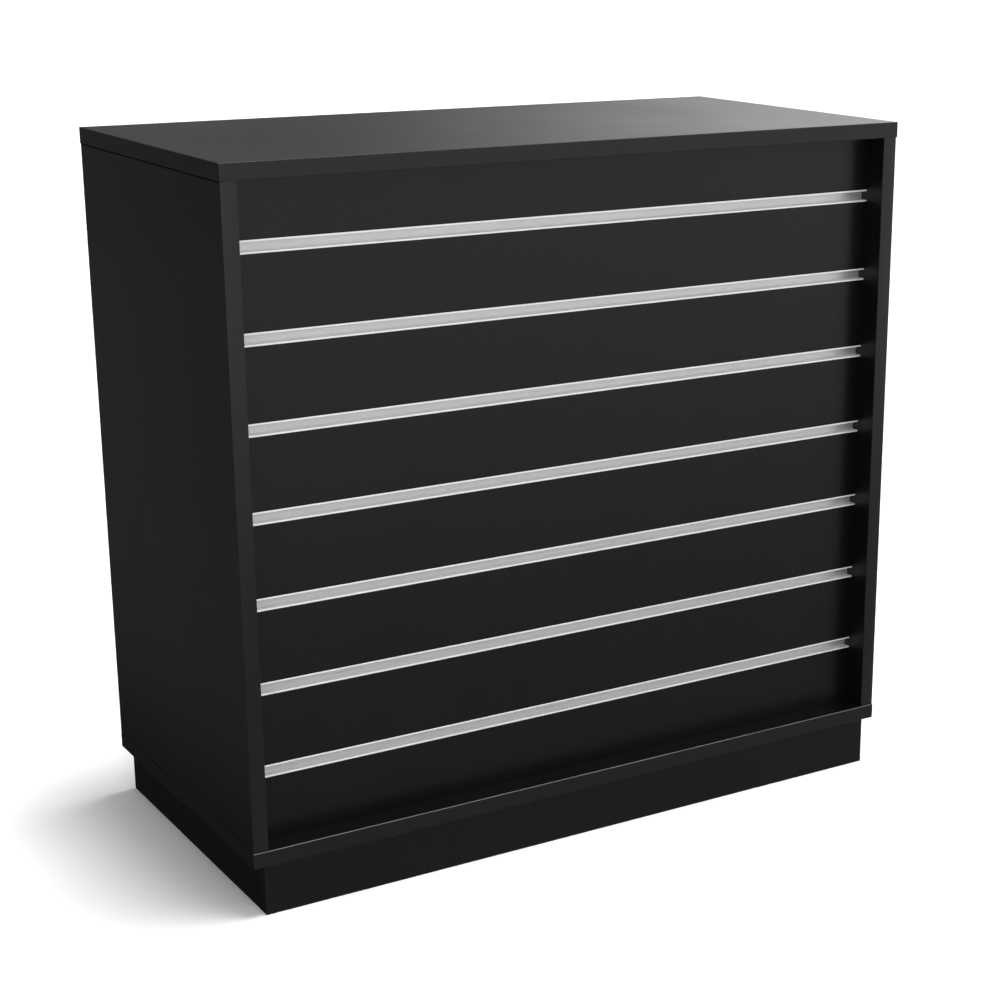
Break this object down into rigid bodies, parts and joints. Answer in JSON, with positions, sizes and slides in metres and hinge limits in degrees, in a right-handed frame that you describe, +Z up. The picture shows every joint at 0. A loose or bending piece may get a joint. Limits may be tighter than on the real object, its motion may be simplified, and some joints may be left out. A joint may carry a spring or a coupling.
{
  "type": "shop counter",
  "caption": "Freestanding black shop counter with an aluminium-slotted slatwall front, open shelved rear, lockable drawer and recessed plinth.",
  "frame": {"origin": "on the floor under the middle of the counter", "axes": "+Z up, +X to the right seen from the customer's side, +Y towards the staff side; the slatwall faces -Y"},
  "size_m": [0.9, 0.435, 0.858],
  "materials": {
    "black_board": "satin black melamine facing on chipboard or MDF",
    "black_edging": "satin black plastic edge banding",
    "insert_aluminium": "satin anodised aluminium",
    "bare_wood": "bare softwood and beech",
    "drawer_board": "dark melamine-faced drawer board",
    "zinc_steel": "bright zinc plate",
    "lock_chrome": "nickel plate",
    "black_plastic": "fine moulded texture"
  },
  "bodies": {
    "counter": {"top_panel": "black_board", "bottom_panel": "black_board", "left_side": "black_board", "right_side": "black_board", "centre_partition": "black_board", "slatwall_panel": "black_board", "left_cleat": "black_board", "right_cleat": "black_board", "plinth_front": "black_board", "plinth_back": "black_board", "plinth_left": "black_board", "plinth_right": "black_board", "plinth_brace": "black_board", "left_shelf": "black_board", "right_shelf": "black_board", "top_edging": "black_edging", "bottom_edging": "black_edging", "upright_edging": "black_edging", "plinth_edging": "black_edging", "shelf_edging": "black_edging", "slot_insert_1": "insert_aluminium", "slot_insert_2": "insert_aluminium", "slot_insert_3": "insert_aluminium", "slot_insert_4": "insert_aluminium", "slot_insert_5": "insert_aluminium", "slot_insert_6": "insert_aluminium", "slot_insert_7": "insert_aluminium", "panel_dowels": "bare_wood", "corner_blocks": "bare_wood", "cleat_screws": "zinc_steel", "cam_housings": "zinc_steel", "cam_bolts": "zinc_steel", "plinth_screws": "zinc_steel", "leveller_bushes": "zinc_steel", "shelf_pins": "zinc_steel", "runner_cabinet_members": "zinc_steel", "cam_caps": "black_plastic", "leveller_caps": "black_plastic"},
    "drawer": {"drawer_front": "black_board", "drawer_front_edging": "black_edging", "drawer_pull": "black_plastic", "drawer_box_front": "drawer_board", "drawer_box_back": "drawer_board", "drawer_box_left": "drawer_board", "drawer_box_right": "drawer_board", "drawer_base": "drawer_board", "drawer_screws": "zinc_steel", "runner_drawer_members": "zinc_steel", "lock_housing": "lock_chrome"},
    "lock": {"lock_barrel": "lock_chrome", "lock_cam": "zinc_steel"},
    "runner_middle": {"runner_middle_members": "zinc_steel"},
    "leveller_1": {"leveller_stud_1": "zinc_steel", "leveller_pad_1": "black_plastic"},
    "leveller_2": {"leveller_stud_2": "zinc_steel", "leveller_pad_2": "black_plastic"},
    "leveller_3": {"leveller_stud_3": "zinc_steel", "leveller_pad_3": "black_plastic"},
    "leveller_4": {"leveller_stud_4": "zinc_steel", "leveller_pad_4": "black_plastic"}
  },
  "joints": [
    {"name": "drawer_slide", "type": "slide", "parent": "counter", "child": "drawer", "axis": [0, 1, 0], "range_m": [0, 0.29]},
    {"name": "runner_slide", "type": "slide", "parent": "counter", "child": "runner_middle", "axis": [0, 1, 0], "range_m": [0, 0.145]},
    {"name": "lock_turn", "type": "hinge", "parent": "drawer", "child": "lock", "pos_m": [-0.22, 0.2, 0.814], "axis": [0, -1, 0], "range_deg": [0, 90]},
    {"name": "leveller_1_screw", "type": "slide", "parent": "counter", "child": "leveller_1", "axis": [0, 0, -1], "range_m": [0, 0.012]},
    {"name": "leveller_2_screw", "type": "slide", "parent": "counter", "child": "leveller_2", "axis": [0, 0, -1], "range_m": [0, 0.012]},
    {"name": "leveller_3_screw", "type": "slide", "parent": "counter", "child": "leveller_3", "axis": [0, 0, -1], "range_m": [0, 0.012]},
    {"name": "leveller_4_screw", "type": "slide", "parent": "counter", "child": "leveller_4", "axis": [0, 0, -1], "range_m": [0, 0.012]}
  ],
  "couplings": [
    {"joint": "runner_slide", "follows": "drawer_slide", "ratio": 0.5}
  ]
}
